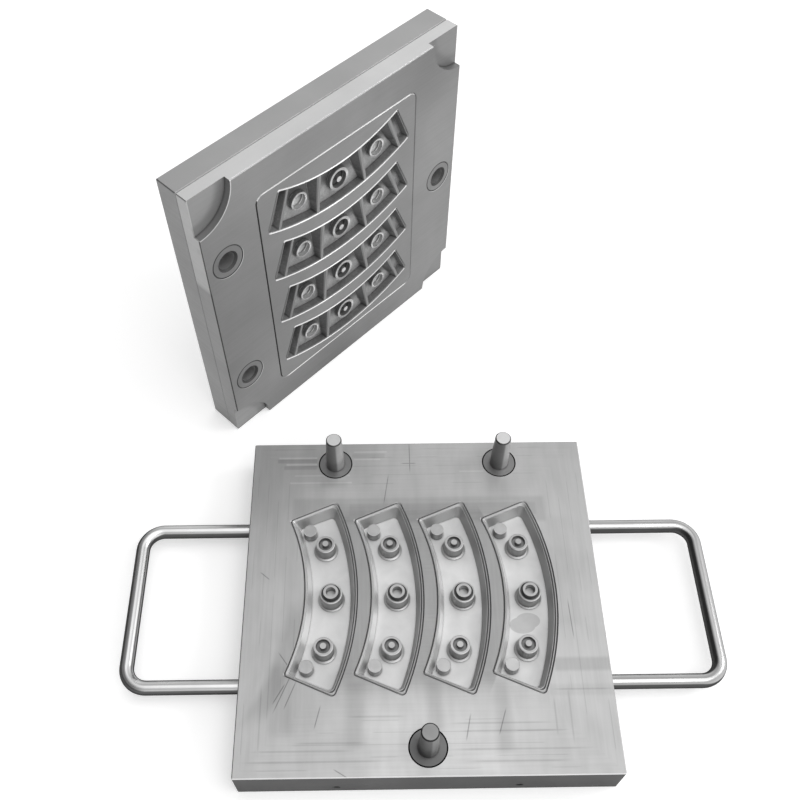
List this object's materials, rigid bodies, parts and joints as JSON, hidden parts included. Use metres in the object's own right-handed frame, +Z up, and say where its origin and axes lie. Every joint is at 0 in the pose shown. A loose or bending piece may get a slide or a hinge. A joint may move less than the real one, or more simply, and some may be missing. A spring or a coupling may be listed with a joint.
{
  "type": "silicone keypad mould",
  "caption": "Open two-part compression mould for silicone keypads: flat lower half with arc recesses, posts, guide pins and rod handles, and an upper half with cavities standing behind it.",
  "frame": {"origin": "centre of the lower half's underside", "axes": "+Z up, +Y from the lower half to its back, +X to its right, out past the right handle"},
  "size_m": [0.505, 0.5824, 0.3],
  "materials": {
    "core_plate": "ground tool steel with faint milling marks",
    "posts": "turned tool steel",
    "guides": "hardened steel, ground bright",
    "handles": "polished round steel bar",
    "cavity_plate": "ground tool steel",
    "cavity_insert": "milled tool steel, fine blasted cavities",
    "backing_plate": "ground tool steel",
    "screws": "blackened steel"
  },
  "bodies": {
    "root": {"backing_plate": "backing_plate", "cavity_insert": "cavity_insert", "cavity_plate": "cavity_plate", "core_plate": "core_plate", "core_post_1_far": "posts", "core_post_1_mid": "posts", "core_post_1_near": "posts", "core_post_2_far": "posts", "core_post_2_mid": "posts", "core_post_2_near": "posts", "core_post_3_far": "posts", "core_post_3_mid": "posts", "core_post_3_near": "posts", "core_post_4_far": "posts", "core_post_4_mid": "posts", "core_post_4_near": "posts", "guide_bush_front": "guides", "guide_bush_left": "guides", "guide_bush_right": "guides", "guide_pin_front": "guides", "guide_pin_left": "guides", "guide_pin_right": "guides", "handle_left": "handles", "handle_right": "handles", "insert_screws": "screws", "pip_1_far": "posts", "pip_1_near": "posts", "pip_2_far": "posts", "pip_2_near": "posts", "pip_3_far": "posts", "pip_3_near": "posts", "pip_4_far": "posts", "pip_4_near": "posts", "plate_dowels": "guides", "plate_screws": "screws"}
  },
  "joints": []
}
